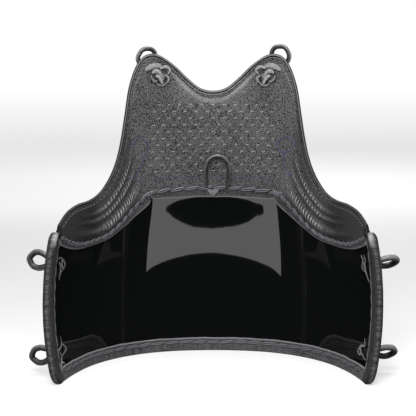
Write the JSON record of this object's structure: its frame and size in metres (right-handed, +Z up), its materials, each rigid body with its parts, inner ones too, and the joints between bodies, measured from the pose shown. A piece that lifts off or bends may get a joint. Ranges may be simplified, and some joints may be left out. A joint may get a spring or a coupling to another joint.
{
  "type": "kendo breastplate",
  "caption": "Curved glossy black breastplate with leather rims, a padded winged chest panel laced along its top edge, and leather tie loops.",
  "frame": {"origin": "middle of the footprint, on the surface that the breastplate stands on", "axes": "+Z up towards the neckline, +Y out to the front of the breastplate, away from the wearer, +X across the chest"},
  "size_m": [0.4966, 0.1996, 0.442],
  "materials": {
    "shell": "smooth high-gloss black lacquer",
    "chest_leather": "soft grained dark grey leather",
    "rim_leather": "grained near-black leather with a low sheen",
    "cord_leather": "rolled black leather"
  },
  "bodies": {
    "root": {"shell": "shell", "chest_panel": "chest_leather", "chest_piping": "rim_leather", "rim_bottom": "rim_leather", "rim_left": "rim_leather", "rim_right": "rim_leather", "seam_strip_centre": "chest_leather", "seam_strip_left": "chest_leather", "seam_strip_right": "chest_leather", "lace_centre": "cord_leather", "lace_left": "cord_leather", "lace_right": "cord_leather", "lace_bottom": "cord_leather", "lace_side_left": "cord_leather", "lace_side_right": "cord_leather", "loop_top_left": "cord_leather", "loop_top_right": "cord_leather", "loop_upper_left": "cord_leather", "loop_upper_right": "cord_leather", "loop_lower_left": "cord_leather", "loop_lower_right": "cord_leather", "knot_top_left": "cord_leather", "knot_top_right": "cord_leather", "knot_upper_left": "cord_leather", "knot_upper_right": "cord_leather", "knot_lower_left": "cord_leather", "knot_lower_right": "cord_leather", "centre_loop": "cord_leather", "centre_tab": "cord_leather"}
  },
  "joints": []
}
